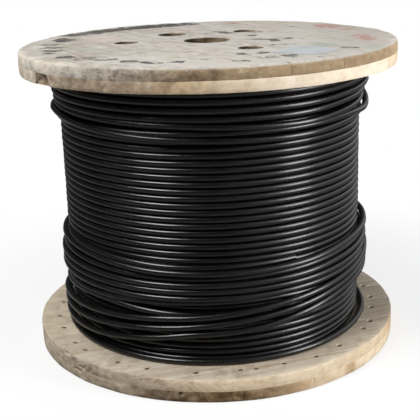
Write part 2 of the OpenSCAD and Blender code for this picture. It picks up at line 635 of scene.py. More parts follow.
        # Stain above 1.1 comes only from hole walls: painted shade, near black on their -X side.
        shaded_wall = sheet.calc("SUBTRACT", see.stain, 1.1, clamp=True)
        colour = sheet.blend(sheet.times(shaded_wall, 0.85), colour, self.hole_shade)
        greyed = sheet.times(see.upright, sheet.step(see.across, 0.0, -0.16))
        greying = {"Saturation": 0.84, "Value": 0.97, "Fac": greyed, "Color": colour}
        return sheet.put("HueSaturation", greying).outputs[0]

    def inked(self, sheet: Sheet, see: WoodPatterns, colour: Socket) -> Socket:
        """Lay the worn inks over the wood's colour.

        Args:
            sheet: The material that is being made.
            see: The wood's patterns.
            colour: The wood's colour so far.

        Returns:
            The colour with the inks.
        """
        specks, scuffs = sheet.patches(see.place, 190.0, 4.0, 0.7), sheet.patches(see.place, 48.0, 3.0, 0.6)
        wear = sheet.weigh(specks, 0.8, scuffs, 0.8)
        smeared = sheet.vector("ADD", see.place, sheet.sway(see.place, 46.0, 3.0, 0.6, (0.05, 0.05, 0.0)))
        upward = sheet.step(sheet.part(sheet.normal(), 2), 0.6, 0.9)
        for ink in self.inks:
            left = sheet.calc("ADD", sheet.times(ink.cover(sheet, smeared), 0.6), wear)
            colour = sheet.blend(sheet.times(sheet.step(left, 0.98, 1.38), upward, 0.9), colour, ink.colour)
        return colour

    def material(self) -> Finish:
        """Make the finish.

        Returns:
            The material.
        """
        sheet = Sheet(self.name)
        see = self.patterns(sheet)
        colour = self.soiled(sheet, see, self.worn_rim(sheet, see, self.sound_wood(sheet, see)))
        if self.inks:
            colour = self.inked(sheet, see, colour)
        height = sheet.weigh(see.fibres, 0.7, see.late, 0.35)
        sheet.shade(base_color=colour, roughness=sheet.step(see.spots, 0.3, 0.7, 0.72, 0.92),
                    specular_ior_level=0.22, normal=sheet.relief(height, 0.6 * MM, 0.6))
        return sheet.material


@dataclass(frozen=True)
class StaveFinish(WoodFinish):
    """Rough-sawn softwood for the barrel, whose fibres run up the drum."""

    def grain_place(self, sheet: Sheet) -> Socket:
        """Turn the place on the object so that its first direction runs up the drum."""
        turn = {"Vector": sheet.object_place(), "Rotation": (0.0, math.pi / 2, 0.0)}
        return sheet.put("Mapping", turn).outputs[0]

    def run_direction(self, sheet: Sheet) -> Source:
        """Give the direction up the drum."""
        return (0.0, 0.0, 1.0)

    def freshness(self, sheet: Sheet) -> Source:
        """Vary the freshness slowly round the barrel."""
        return sheet.patches(sheet.object_place(), 4.0, 1.0)

    def staining(self, sheet: Sheet) -> Source:
        """Stain the staves a little, in slow patches."""
        return sheet.times(sheet.patches(sheet.object_place(), 6.0, 2.0), 0.5)


@dataclass(frozen=True)
class JacketFinish:
    """Glossy black cable jacket with faint waves, dust and rub marks."""

    name: str = "cable_jacket_black"
    base: Colour = srgb(9, 9, 10)
    dust: Colour = srgb(30, 30, 30)

    def material(self) -> Finish:
        """Make the finish.

        Returns:
            The material.
        """
        sheet = Sheet(self.name)
        place = sheet.object_place()
        clouds = sheet.patches(place, 9.0, 4.0, 0.6)
        waves = sheet.patches(place, 110.0, 2.0, 0.5)
        fine = sheet.patches(place, 900.0, 2.0, 0.6)
        dusty = sheet.times(sheet.step(clouds, 0.48, 0.75), sheet.step(fine, 0.35, 0.75, 0.1, 0.45))
        roughness = sheet.weigh(sheet.step(clouds, 0.35, 0.75, 0.20, 0.28), 1.0, fine, 0.06)
        height = sheet.weigh(waves, 1.0, fine, 0.06)
        sheet.shade(base_color=sheet.blend(dusty, self.base, self.dust), roughness=roughness,
                    specular_ior_level=0.5, normal=sheet.relief(height, 0.5 * MM, 0.35))
        return sheet.material


@dataclass(frozen=True)
class SteelFinish:
    """Dull steel with rust in patches."""

    name: str
    bright: Colour = srgb(150, 146, 140)
    rust: Colour = srgb(96, 58, 36)
    dark_rust: Colour = srgb(58, 40, 30)
    rust_share: float = 0.5

    def material(self) -> Finish:
        """Make the finish.

        Returns:
            The material.
        """
        sheet = Sheet(self.name)
        place = sheet.object_place()
        broad = sheet.patches(place, 60.0, 5.0, 0.65)
        fine = sheet.patches(place, 700.0, 3.0, 0.6)
        limit = 0.72 - 0.4 * self.rust_share
        rusty = sheet.step(broad, limit - 0.06, limit + 0.08)
        colour = sheet.blend(rusty, self.bright, sheet.blend(fine, self.rust, self.dark_rust))
        sheet.shade(base_color=colour, metallic=sheet.step(rusty, 0.1, 0.9, 0.95, 0.1),
                    roughness=sheet.step(rusty, 0.0, 1.0, 0.38, 0.85),
                    normal=sheet.relief(sheet.weigh(fine, 0.5, rusty, 1.0), 0.3 * MM, 0.6))
        return sheet.material


@dataclass(frozen=True)
class PaperFinish:
    """Blank pale paper, stained and rubbed."""

    name: str = "label_paper"
    clean: Colour = srgb(194, 197, 200)
    stain: Colour = srgb(168, 171, 168)

    def material(self) -> Finish:
        """Make the finish.

        Returns:
            The material.
        """
        sheet = Sheet(self.name)
        place = sheet.object_place()
        clouds = sheet.patches(place, 28.0, 5.0, 0.65)
        fine = sheet.patches(place, 1200.0, 2.0, 0.6)
        colour = sheet.blend(sheet.step(clouds, 0.42, 0.70), self.clean, self.stain)
        sheet.shade(base_color=colour, roughness=sheet.step(clouds, 0.3, 0.7, 0.55, 0.8),
                    specular_ior_level=0.3, normal=sheet.relief(fine, 0.1 * MM, 0.4))
        return sheet.material


# Flanges


@dataclass(frozen=True)
class RimDamage:
    """A chip or dent: direction in degrees, height, and half sizes along, into and up the rim in mm."""

    turn: float
    height: float
    size: tuple[float, float, float]
    broken: float = 0.38

    def tool(self) -> tuple[Shape, Matrix]:
        """Make the shape that cuts it, with a broken surface.

        Returns:
            The shape and its place.
        """
        height = self.height * MM
        along, into, up = (size * MM for size in self.size)
        bm = bmesh.new()
        bmesh.ops.create_icosphere(bm, subdivisions=3, radius=1.0)
        for vert in bm.verts:
            vert.co *= 1.0 + self.broken * noise.noise(vert.co * 2.1 + Vector((self.turn, 0, height * 100)))
        place = (Matrix.Translation(polar(DRUM.radius, self.turn, height))
                 @ Matrix.Rotation(math.radians(self.turn), 4, "Z") @ Matrix.Diagonal((into, along, up, 1.0)))
        return bm, place


@dataclass(frozen=True)
class Stain:
    """A stained or bleached stretch: middle and half span in degrees, inner radius in mm, strength."""

    turn: float
    half_span: float
    inner: float
    strength: float
    fade_in: float = 9 * MM

    def at(self, spot: Vector) -> float:
        """Give its strength at a point, fading out towards its ends and its inner side.

        Args:
            spot: The point.

        Returns:
            The strength there.
        """
        off = abs((math.degrees(math.atan2(spot.y, spot.x)) - self.turn + 180) % 360 - 180)
        fade = limited(1.6 * (1 - off / self.half_span))
        return self.strength * fade * limited((spot.xy.length - self.inner * MM) / self.fade_in)


@dataclass(frozen=True)
class BoardLayer:
    """How a layer's boards lie and look: their direction, rim rounding, freshness, stains and damage."""

    turn: float
    rim_round: float
    fresh: tuple[float, ...]
    stains: tuple[Stain, ...]
    damage: tuple[RimDamage, ...]


@dataclass
class FlangeBoard:
    """One board of a flange, cut from the round layer, with worn edges, holes and rough rim.

    row counts the boards of a layer from 1. number counts all boards, so that each wears in its own way.
    """

    layer: Layer
    look: BoardLayer
    row: int
    number: int
    arris: float = 0.7 * MM
    cell: float = 17 * MM
    swell: float = 0.65 * MM
    facets: int = 176
    rim_slack: float = 0.4 * MM
    rim_cuts: tuple[float, ...] = (0.35, 0.7)
    rim_reach: float = 9 * MM
    rim_loss: float = 0.6 * MM
    rim_step: float = 0.3 * MM
    edge_wave: float = 0.45 * MM
    edge_share: float = 0.03
    # Painted shade on hole walls: this less the wall's side runs from 2.15, black, on the -X side to 0.15 on
    # the +X side.
    wall_shade: float = 1.15
    low: float = field(init=False)
    high: float = field(init=False)
    floor: float = field(init=False)

    def __post_init__(self) -> None:
        """Take the board's place across its layer, and its height, from the solid."""
        offsets = [vertex.co.dot(self.across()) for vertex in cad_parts[self.node].data.vertices]
        self.low, self.high = min(offsets) - self.swell, max(offsets) + self.swell
        self.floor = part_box(self.node)[0].z

    @property
    def node(self) -> str:
        """Name the solid that the board replaces."""
        return f"{self.layer.value}_{self.row}"

    def along(self) -> Vector:
        """Give the direction of the fibres."""
        return polar(1.0, self.look.turn)

    def across(self) -> Vector:
        """Give the level direction across the fibres."""
        return polar(1.0, self.look.turn + 90)

    def rounded_z(self) -> float:
        """Give the height of the face whose rim edge is rounded."""
        return self.floor + (DRUM.board_t if self.layer.rounded_above() else 0.0)

    def slab(self) -> Shape:
        """Cut the board's outline from a disc, divide it into cells and give it its thickness.

        Returns:
            The closed slab with square edges.
        """
        bm = bmesh.new()
        bmesh.ops.create_circle(bm, cap_ends=True, radius=DRUM.radius, segments=self.facets,
                                matrix=Matrix.Translation((0, 0, self.floor)))
        across, along = self.across(), self.along()
        for offset, outward in ((self.high, 1), (self.low, -1)):
            if abs(offset) < DRUM.radius - 1 * MM:
                slice_at(bm, across * offset, across * outward, drop_outer=True)
        for direction, start, end in ((across, self.low, self.high), (along, -DRUM.radius, DRUM.radius)):
            count = max(2, round((end - start) / self.cell))
            for k in range(1, count):
                slice_at(bm, direction * (start + (end - start) * k / count), direction)
        grown = bmesh.ops.extrude_face_region(bm, geom=bm.faces[:], use_keep_orig=True)
        lifted = [item for item in grown["geom"] if isinstance(item, bmesh.types.BMVert)]
        bmesh.ops.translate(bm, verts=lifted, vec=(0, 0, DRUM.board_t))
        bmesh.ops.remove_doubles(bm, verts=bm.verts, dist=MERGE)
        bmesh.ops.recalc_face_normals(bm, faces=bm.faces)
        return bm

    def on_rounded_rim(self, edge: bmesh.types.BMEdge) -> bool:
        """Say whether an edge lies where the rim meets the face that it is rounded to."""
        return all(vert.co.xy.length > DRUM.radius - self.rim_slack
                   and abs(vert.co.z - self.rounded_z()) < 10 * MERGE for vert in edge.verts)

    def round_off(self, bm: Shape) -> None:
        """Round the arrises a little, and the rim's outer edge more.

        Args:
            bm: The slab, which is changed.
        """
        def sharp(angle: float) -> list[bmesh.types.BMEdge]:
            """List the edges whose faces turn by more than an angle, in radians."""
            return [edge for edge in bm.edges if len(edge.link_faces) == 2 and edge.calc_face_angle() > angle]

        round_edges(bm, [edge for edge in sharp(1.0) if not self.on_rounded_rim(edge)], self.arris, 2)
        round_edges(bm, [edge for edge in sharp(0.9) if self.on_rounded_rim(edge)], self.look.rim_round, 4)
        for share in self.rim_cuts:
            slice_at(bm, Vector((0, 0, self.floor + share * DRUM.board_t)), Vector((0, 0, 1)))

    def turn_corners(self, bm: Shape) -> None:
        """Bring the corners beside the joints, which the bevel leaves square, back to the rounded rim.

        Args:
            bm: The bevelled slab, which is changed.
        """
        side, size = 1 if self.layer.rounded_above() else -1, self.look.rim_round
        inner, level = DRUM.radius - size, self.rounded_z() - side * size
        for vert in bm.verts:
            out, up = vert.co.xy.length - inner, (vert.co.z - level) * side
            over = math.hypot(out, up) / size
            if out > 0 and up > 0 and over > 1:
                vert.co.xy *= (inner + out / over) / vert.co.xy.length
                vert.co.z = level + side * up / over

    def roughen(self, bm: Shape) -> None:
        """Roughen the rim, let the faces bow, and make the joints uneven.

        Args:
            bm: The rounded slab, which is changed.
        """
        shift = Vector((3.7 * self.number, 1.9 * self.number, 0.7 * self.number))
        across = self.across()
        middle, half = (self.low + self.high) / 2, (self.high - self.low) / 2
        step_out = noise.noise(shift * 1.31) * self.rim_step
        for vert in bm.verts:
            at_rim = max(0.0, 1.0 - (DRUM.radius - vert.co.xy.length) / self.rim_reach)
            if at_rim > 0:
                rough = noise.noise(vert.co * 30) + noise.noise(vert.co * 130 + shift) * 0.4
                push = at_rim * (step_out + rough * MM - self.rim_loss)
                vert.co.xy += vert.co.xy.normalized() * push
            bow = ((vert.co.dot(across) - middle) / half) ** 2
            lift = noise.noise(vert.co * 5 + shift) * 0.3 - 0.25 * bow * (0.5 + noise.noise(shift))
            vert.co.z += lift * MM
            from_joint = abs(vert.co.dot(across) - middle) / half - (1 - self.edge_share)
            at_joint = limited(from_joint / self.edge_share)
            vert.co += across * (noise.noise(vert.co * 30 + shift) * self.edge_wave * at_joint)

    def mark_grain(self, mesh: bpy.types.Mesh, mouths: Sequence[tuple[Vector, float]]) -> None:
        """Store the place in the board's own directions, its stains and the painted shade on its hole walls,
        for its finish.

        Args:
            mesh: The board's finished mesh.
            mouths: Middle and radius of each hole, whose wall gets painted shade, darkest on its -X side.
        """
        along, across = self.along(), self.across()
        pith_off = 0.05 * noise.noise(Vector((self.number, 0.3, 0.9)))
        pith_depth = 0.045 if self.number % 2 else -0.05
        pith = Vector((0.83 * self.number, -(self.low + self.high) / 2 + pith_off,
                       -self.floor - DRUM.board_t / 2 + pith_depth))
        places, runs, shades, marks = [], [], [], []
        for vertex in mesh.vertices:
            spot = vertex.co
            places += [spot.dot(along) + pith.x, spot.dot(across) + pith.y, spot.z + pith.z]
            runs += list(along)
            shades.append(self.look.fresh[self.row - 1])
            # Hole walls carry painted shade in place of stains, darker towards their -X side.
            wall_lit_side = [(spot.x - middle.x) / radius for middle, radius in mouths
                     if (spot.xy - middle.xy).length < radius]
            stained = sum(stain.at(spot) for stain in self.look.stains)
            marks.append(self.wall_shade - wall_lit_side[0] if wall_lit_side else stained)
        for name, kind, key, values in (("grain", "FLOAT_VECTOR", "vector", places),
                                        ("run", "FLOAT_VECTOR", "vector", runs),
                                        ("fresh", "FLOAT", "value", shades),
                                        ("stain", "FLOAT", "value", marks)):
            mesh.attributes.new(name, kind, "POINT").data.foreach_set(key, values)

    def build(self, tool: Shape, finish: Finish, mouths: Sequence[tuple[Vector, float]]) -> None:
        """Model the board and give it its finish.

        Args:
            tool: The holes, pits and chips of its layer.
            finish: The wood.
            mouths: Middle and radius of each hole, whose wall gets painted shade.
        """
        bm = self.slab()
        self.round_off(bm)
        self.turn_corners(bm)
        self.roughen(bm)
        piece = as_object(bm, "worn_" + self.node)
        carve(piece, tool)
        self.mark_grain(piece.data, mouths)
        soften(piece)
        dress(piece, finish, "flange_wood", self.node)


@dataclass
class Flanges:
    """Both flanges: four layers of boards with their holes, recesses, nail pits and damaged rims."""

    arbor_r: float = 40 * MM
    drive_r: float = 26 * MM
    drive_out: float = 120.637 * MM
    drive_turn: float = 122.0
    recess_r: float = 21 * MM
    groove: tuple[float, float, float] = (149.137 * MM, 175.5 * MM, 8 * MM)
    past: float = 3 * MM
    hole_past: float = 4 * MM
    mouth_wear: float = 1.2 * MM
    rod_hole_wear: float = 0.4 * MM
    # How far past each hole the painted wall shade reaches.
    wall_margin: float = 0.6 * MM
    nail_pit_r: float = 5.2 * MM
    nail_pit_depth: float = 2.4 * MM
    nail_head_r: float = 3.848 * MM
    nail_sink: float = 1.5 * MM
    nail_out: float = 291 * MM
    nail_stray: float = 9 * MM
    nail_turns: tuple[float, ...] = (
        -146, -139, -124, -113, -97, -83, -78, -68.5, -57, -46, -30, -23, -11, -1, 10,
        21, 34, 47, 55, 68, 79, 92, 101, 116, 127, 139, 151, 164, 176, -171, -160)
    layers: dict[Layer, BoardLayer] = field(default_factory=lambda: {
        Layer.UPPER_OUTER: BoardLayer(
            120.0, 7 * MM, (0.10, 0.05, 0.02, 0.12, 0.04),
            (Stain(-100, 24, 317, 0.5), Stain(-92, 7, 317, 0.5), Stain(-56, 42, 317, 0.3),
             Stain(-13, 18, 317, -0.3), Stain(0, 75, 200, 0.12), Stain(-152, 32, 312, -0.4)),
            (RimDamage(118.0, 526, (24, 6, 4)),)),
        Layer.UPPER_INNER: BoardLayer(
            30.0, 2.5 * MM, (0.75, 0.40, 0.15, 0.30, 0.30),
            (Stain(-156, 22, 312, -0.4), Stain(-120, 24, 312, 0.42), Stain(-52, 46, 300, -0.85),
             Stain(-142.5, 5.5, 296, 0.5)),
            (RimDamage(-142.5, 495, (25, 7.5, 16)),)),
        Layer.LOWER_INNER: BoardLayer(
            18.0, 2 * MM, (0.40, 0.18, 0.25, 0.15, 0.20),
            (Stain(-134, 22, 317, 0.3), Stain(-80, 34, 317, -0.8), Stain(-75, 55, 255, 0.22),
             Stain(-42, 34, 317, -0.75), Stain(-178, 70, 255, -0.4), Stain(-5, 28, 262, 0.3)),
            (RimDamage(-141.0, 37, (14, 6, 6)), RimDamage(-134.0, 24, (10, 5, 4)))),
        Layer.LOWER_OUTER: BoardLayer(
            108.0, 2.5 * MM, (0.45, 0.40, 0.60, 0.85, 0.95),
            (Stain(-94, 33, 312, 1.05), Stain(-40, 30, 312, -0.8), Stain(-47.5, 3.0, 312, 0.9),
             Stain(-140, 18, 312, 0.4)),
            (RimDamage(-136.0, 16, (13, 5, 4)), RimDamage(-100.7, 15, (4, 6, 4)),
             RimDamage(63.0, 0, (22, 7, 5)))),
    })

    def hole(self, radius: float, floor: float, wear: float) -> Shape:
        """Make the tool for a round hole through a layer, with worn mouths.

        Args:
            radius: Radius of the hole.
            floor: Underside of the layer.
            wear: Size of the worn edge at both mouths.

        Returns:
            The closed tool, on the Z axis.
        """
        past, top = self.hole_past, floor + DRUM.board_t
        return turned([(0, floor - past), (radius + wear + past, floor - past), (radius, floor + wear),
                       (radius, top - wear), (radius + wear + past, top + past), (0, top + past)])

    def recess(self, face: float, side: int) -> Shape:
        """Make the tool for a nut's recess and its rod's hole.

        Args:
            face: Height of the flange's outer face.
            side: 1 if that face is above the layer, and -1 if it is below.

        Returns:
            The closed tool, on the Z axis.
        """
        small, wide = DRUM.rod_hole_r, self.recess_r
        depths = (DRUM.recess_depth, DRUM.board_t + self.past, -self.past)
        seat, back, out = (face - side * depth for depth in depths)
        profile = [(0, back), (small, back), (small, seat), (wide, seat), (wide, face - side * 1 * MM),
                   (wide + self.hole_past, out), (0, out)]
        return turned(profile[::side])

    def inner_tools(self, mouth: float, side: int) -> list[tuple[Shape, Matrix]]:
        """Make the tools for the groove and the nail pits on the side that faces the winding.

        Args:
            mouth: Height of that side.
            side: 1 if the wood is above it, and -1 if it is below.

        Returns:
            Each tool with its place.
        """
        inner, outer, seat = self.groove
        low, high = sorted((mouth - side * self.past, mouth + side * seat))
        shapes = [(turned([(inner, low), (outer, low), (outer, high), (inner, high)], 96, ring=True),
                   Matrix.Identity(4))]
        wide, open_z, deep_z = self.nail_pit_r, mouth - side * 2 * MM, mouth + side * self.nail_pit_depth
        pit = [(0, open_z), (wide + 2 * MM, open_z), (wide, mouth + side * 0.3 * MM), (wide * 0.72, deep_z),
               (0, deep_z)]
        return shapes + self.at_nails(pit, 14)

    def tools(self, layer: Layer) -> Shape:
        """Gather everything that is cut out of a layer.

        Args:
            layer: The layer of boards.

        Returns:
            The tools as one bmesh.
        """
        floor, top = layer.floor(), layer.floor() + DRUM.board_t
        shapes = [(self.hole(self.arbor_r, floor, self.mouth_wear), Matrix.Identity(4)),
                  (self.hole(self.drive_r, floor, self.mouth_wear),
                   Matrix.Translation(polar(self.drive_out, self.drive_turn)))]
        for turn in DRUM.rod_turns:
            place = Matrix.Translation(polar(DRUM.rod_out, turn))
            if layer is Layer.UPPER_OUTER:
                shapes.append((self.recess(top, 1), place))
            elif layer is Layer.LOWER_OUTER:
                shapes.append((self.recess(floor, -1), place))
            else:
                shapes.append((self.hole(DRUM.rod_hole_r, floor, self.rod_hole_wear), place))
        if layer.is_inner():
            shapes += self.inner_tools(floor, 1) if layer is Layer.UPPER_INNER else self.inner_tools(top, -1)
        return gather(shapes + [hurt.tool() for hurt in self.layers[layer].damage])

    def nail_place(self, turn: float) -> Vector:
        """Give the place of a nail, a little off the common circle."""
        return polar(self.nail_out + self.nail_stray * noise.noise(Vector((turn * 0.37, 0.4, 0.2))), turn)

    def at_nails(self, outline: Outline, steps: int) -> list[tuple[Shape, Matrix]]:
        """Turn one shape for each nail, and give each its place."""
        return [(turned(outline, steps), Matrix.Translation(self.nail_place(turn)))
                for turn in self.nail_turns]

    def nails(self, finish: Finish) -> None:
        """Set a sunken nail head into each pit.

        Args:
            finish: The rusty steel.
        """
        flange_t, wide = 2 * DRUM.board_t, self.nail_head_r
        for name, mouth, side in (("upper_nail_heads", DRUM.height - flange_t, 1),
                                  ("lower_nail_heads", flange_t, -1)):
            face = mouth + side * self.nail_sink
            outline = [(radius, face + side * depth * MM) for radius, depth in (
                (0, 0), (wide * 0.8, 0.1), (wide, 0.5), (wide * 0.45, 1.6), (wide * 0.4, 9), (0, 10))]
            piece = as_object(gather(self.at_nails(outline, 12)), name)
            soften(piece)
            dress(piece, finish, "steel")

    def build(self, woods: dict[Layer, Finish], nail: Finish) -> None:
        """Model all boards and their nails.

        Args:
            woods: Wood of each layer.
            nail: Steel of the nails.
        """
        # Holes whose walls get painted shade through the stain attribute.
        mouths = [(Vector(), self.arbor_r + self.wall_margin),
                  (polar(self.drive_out, self.drive_turn), self.drive_r + self.wall_margin)]
        mouths += [(polar(DRUM.rod_out, turn), self.recess_r + self.wall_margin) for turn in DRUM.rod_turns]
        boards = [(layer, look, row) for layer, look in self.layers.items()
                  for row in range(1, len(look.fresh) + 1)]
        for number, (layer, look, row) in enumerate(boards, 1):
            FlangeBoard(layer, look, row, number).build(self.tools(layer), woods[layer], mouths)
        self.nails(nail)


@dataclass
class BlankLabel:
    """A blank torn piece of paper stuck to the upper face, with its reach in mm by direction in degrees."""

    centre: tuple[float, float] = (153 * MM, -181 * MM)
    reach: Outline = ((0, 56), (20, 40), (31, 46), (60, 42), (90, 52), (115, 50), (151, 42), (184, 52),
                      (212, 46), (232, 42), (262, 47), (283, 48), (310, 44), (345, 42), (360, 56))
    torn: float = 2.5
    rings: int = 8
    facets: int = 96
    paper: float = 0.25 * MM
    glue: float = 0.45 * MM
    curl: float = 0.4 * MM
    curl_from: float = 0.8

    def reach_at(self, degrees: float) -> float:
        """Give the paper's reach in a direction, with a torn edge.

        Args:
            degrees: The direction, from 0 to 360.

        Returns:
            The reach in metres.
        """
        for (start, near), (end, far) in zip(self.reach, self.reach[1:]):
            if degrees <= end:
                share = (degrees - start) / (end - start)
                return (near + (far - near) * share + self.torn * noise.noise(polar(4.0, degrees))) * MM
        return self.reach[-1][1] * MM

    def build(self, finish: Finish) -> None:
        """Model the label and give it its finish.

        Args:
            finish: The paper.
        """
        bm = turned([(k / self.rings, 0.0) for k in range(self.rings + 1)], self.facets)
        for vert in bm.verts:
            share = vert.co.xy.length
            if share > 0:
                vert.co.xy *= self.reach_at(math.degrees(math.atan2(vert.co.y, vert.co.x)) % 360)
            at_edge = max(0.0, share - self.curl_from) / (1 - self.curl_from)
            vert.co.z = self.curl * at_edge * max(0.0, noise.noise(vert.co * 18))
        place = Matrix.Translation((*self.centre, DRUM.height + self.glue))
        bmesh.ops.transform(bm, matrix=place, verts=bm.verts)
        bmesh.ops.solidify(bm, geom=bm.faces[:], thickness=self.paper)
        bmesh.ops.recalc_face_normals(bm, faces=bm.faces)
        piece = as_object(bm, "blank_label")
        soften(piece, 60)
        dress(piece, finish, "flange_wood")


# Barrel and tie rods


@dataclass
class Barrel:
    """The staves, which keep their own solids."""

    count: int = 16

    def dress(self, finish: Finish) -> None:
        """Give each stave its wood.

        Args:
            finish: The wood.
        """
        for k in range(1, self.count + 1):
            paint(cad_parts[f"barrel_stave_{k}"], finish)
        LOG.info("barrel: %d staves dressed", self.count)


@dataclass
class TieRods:
    """The tie rods with their threaded ends, and the nuts and washers sunk in the flanges."""

    rod_r: float = 6 * MM
    sink: float = 1.5 * MM
    thread_length: float = 34 * MM
    thread_pitch: float = 1.75 * MM
    thread_depth: float = 0.9 * MM
    thread_end: float = 2 * MM
    washer_r: float = 18 * MM
    washer_t: float = 3 * MM
    washer_edge: float = 0.5 * MM
    nut_w: float = 19 * MM
    nut_t: float = 10 * MM
    nut_edge: float = 0.4 * MM
    nut_turned: float = 1.5 * MM
    nut_tilt: float = 17.0

    def rod(self) -> Shape:
        """Turn a rod with a thread at both ends.

        Returns:
            The rod on the Z axis.
        """
        low, high = self.sink, DRUM.height - self.sink
        root_r = self.rod_r - self.thread_depth
        lower = [(0.0, low), (root_r, low)]
        for k in range(int(self.thread_length / self.thread_pitch)):
            start = low + (k + 0.4) * self.thread_pitch
            lower += [(self.rod_r, start), (self.rod_r, start + 0.2 * self.thread_pitch),
                      (root_r, start + 0.55 * self.thread_pitch)]
        lower.append((self.rod_r, low + self.thread_length + self.thread_end))
        upper = [(radius, low + high - height) for radius, height in reversed(lower)]
        return turned(lower + upper, 20)

    def nut(self, floor: float, name: str, turn: float, tilt: float) -> Piece:
        """Model a hexagon nut with turned corners and a bevelled bore.

        Args:
            floor: Underside of the nut.
            name: Name of the piece.
            turn: Direction of its rod.
            tilt: How far the nut is turned on its rod.

        Returns:
            The nut in its place.
        """
        half, wide, bore = self.nut_t / 2, self.nut_w / 2, self.rod_r - 0.2 * MM
        corner = wide / math.cos(math.pi / 6)
        bm = bmesh.new()
        bmesh.ops.create_cone(bm, cap_ends=True, segments=6, radius1=corner, radius2=corner, depth=self.nut_t)
        upright = [edge for edge in bm.edges if abs(edge.verts[0].co.z - edge.verts[1].co.z) > 10 * MERGE]
        round_edges(bm, upright, self.nut_edge, 2)
        piece = as_object(bm, name)
        shoulder = half - self.nut_turned
        corners = [(0, -half), (wide * 0.96, -half), (wide * 1.2, -shoulder), (wide * 1.2, shoulder),
                   (wide * 0.96, half), (0, half)]
        carve(piece, turned(corners, 48), Cut.INTERSECT)
        hollow = [(0, -half - MM), (bore + 2 * MM, -half - MM), (bore, -half + MM), (bore, half - MM),
                  (bore + 2 * MM, half + MM), (0, half + MM)]
        carve(piece, turned(hollow, 32))
        piece.data.transform(Matrix.Translation(polar(DRUM.rod_out, turn, floor + half))
                             @ Matrix.Rotation(math.radians(turn + tilt), 4, "Z"))
        return piece

    def washer(self, floor: float) -> Shape:
        """Turn a washer with rounded edges.

        Args:
            floor: Height of its underside.

        Returns:
            The washer on the Z axis.
        """
        edge, wide, hole, top = self.washer_edge, self.washer_r, DRUM.rod_hole_r, floor + self.washer_t
        profile = [(hole, floor + edge), (hole + edge, floor), (wide - edge, floor), (wide, floor + edge),
                   (wide, top - edge), (wide - edge, top), (hole + edge, top), (hole, top - edge)]
        return turned(profile, 56, ring=True)

    def build(self, rod_finish: Finish, nut_finish: Finish) -> None:
        """Model the rods, nuts and washers, and give them their finishes.

        Args:
            rod_finish: Steel of the rods.
            nut_finish: Steel of the nuts and washers.
        """
        upper, lower = DRUM.height - DRUM.recess_depth, DRUM.recess_depth - self.washer_t
        for k, turn in enumerate(DRUM.rod_turns, 1):
            place = Matrix.Translation(polar(DRUM.rod_out, turn))
            rod = as_object(gather([(self.rod(), place)]), f"threaded_rod_{k}")
            soften(rod, 50)
            dress(rod, rod_finish, "steel", f"tie_rod_{k}")
            for side, floor, seat in (("upper", upper, upper + self.washer_t),
                                      ("lower", lower, lower - self.nut_t)):
                washer = as_object(gather([(self.washer(floor), place)]), f"round_{side}_washer_{k}")
                soften(washer)
                dress(washer, nut_finish, "steel", f"{side}_washer_{k}")
                nut = self.nut(seat, f"hexagon_{side}_nut_{k}", turn, self.nut_tilt * k)
                soften(nut)
                dress(nut, nut_finish, "steel", f"{side}_nut_{k}")


# Cable


@dataclass(frozen=True)
class Strand:
    """A loose run of cable, as points of direction in degrees, height and radius in millimetres."""

    points: tuple[tuple[float, float, float], ...]
    step: float = 3.0
    uneven: float = 0.5

    def path(self) -> list[Vector]:
        """Run one smooth curve through the points.

        Returns:
            Points along the strand's middle, in metres.
        """
        line = []
        known = [Vector(point) for point in self.points]
        last = len(known) - 1
        for k in range(last):
            before, start, end, after = known[max(0, k - 1)], known[k], known[k + 1], known[min(last, k + 2)]
            span = end.x - start.x
            leave = (end - before) * (span / (end.x - before.x))
            reach = (after - start) * (span / (after.x - start.x))
            count = max(1, round(abs(span) / self.step))
            for n in range(count + (k == last - 1)):
                t = n / count
                spot = (start * (2 * t ** 3 - 3 * t ** 2 + 1) + leave * (t ** 3 - 2 * t ** 2 + t)
                        + end * (3 * t ** 2 - 2 * t ** 3) + reach * (t ** 3 - t ** 2))
                wobble = self.uneven * noise.noise(polar(2.0, spot.x, spot.y * 0.11))
                line.append(polar((spot.z + wobble) * MM, spot.x, (spot.y + wobble) * MM))
        return line


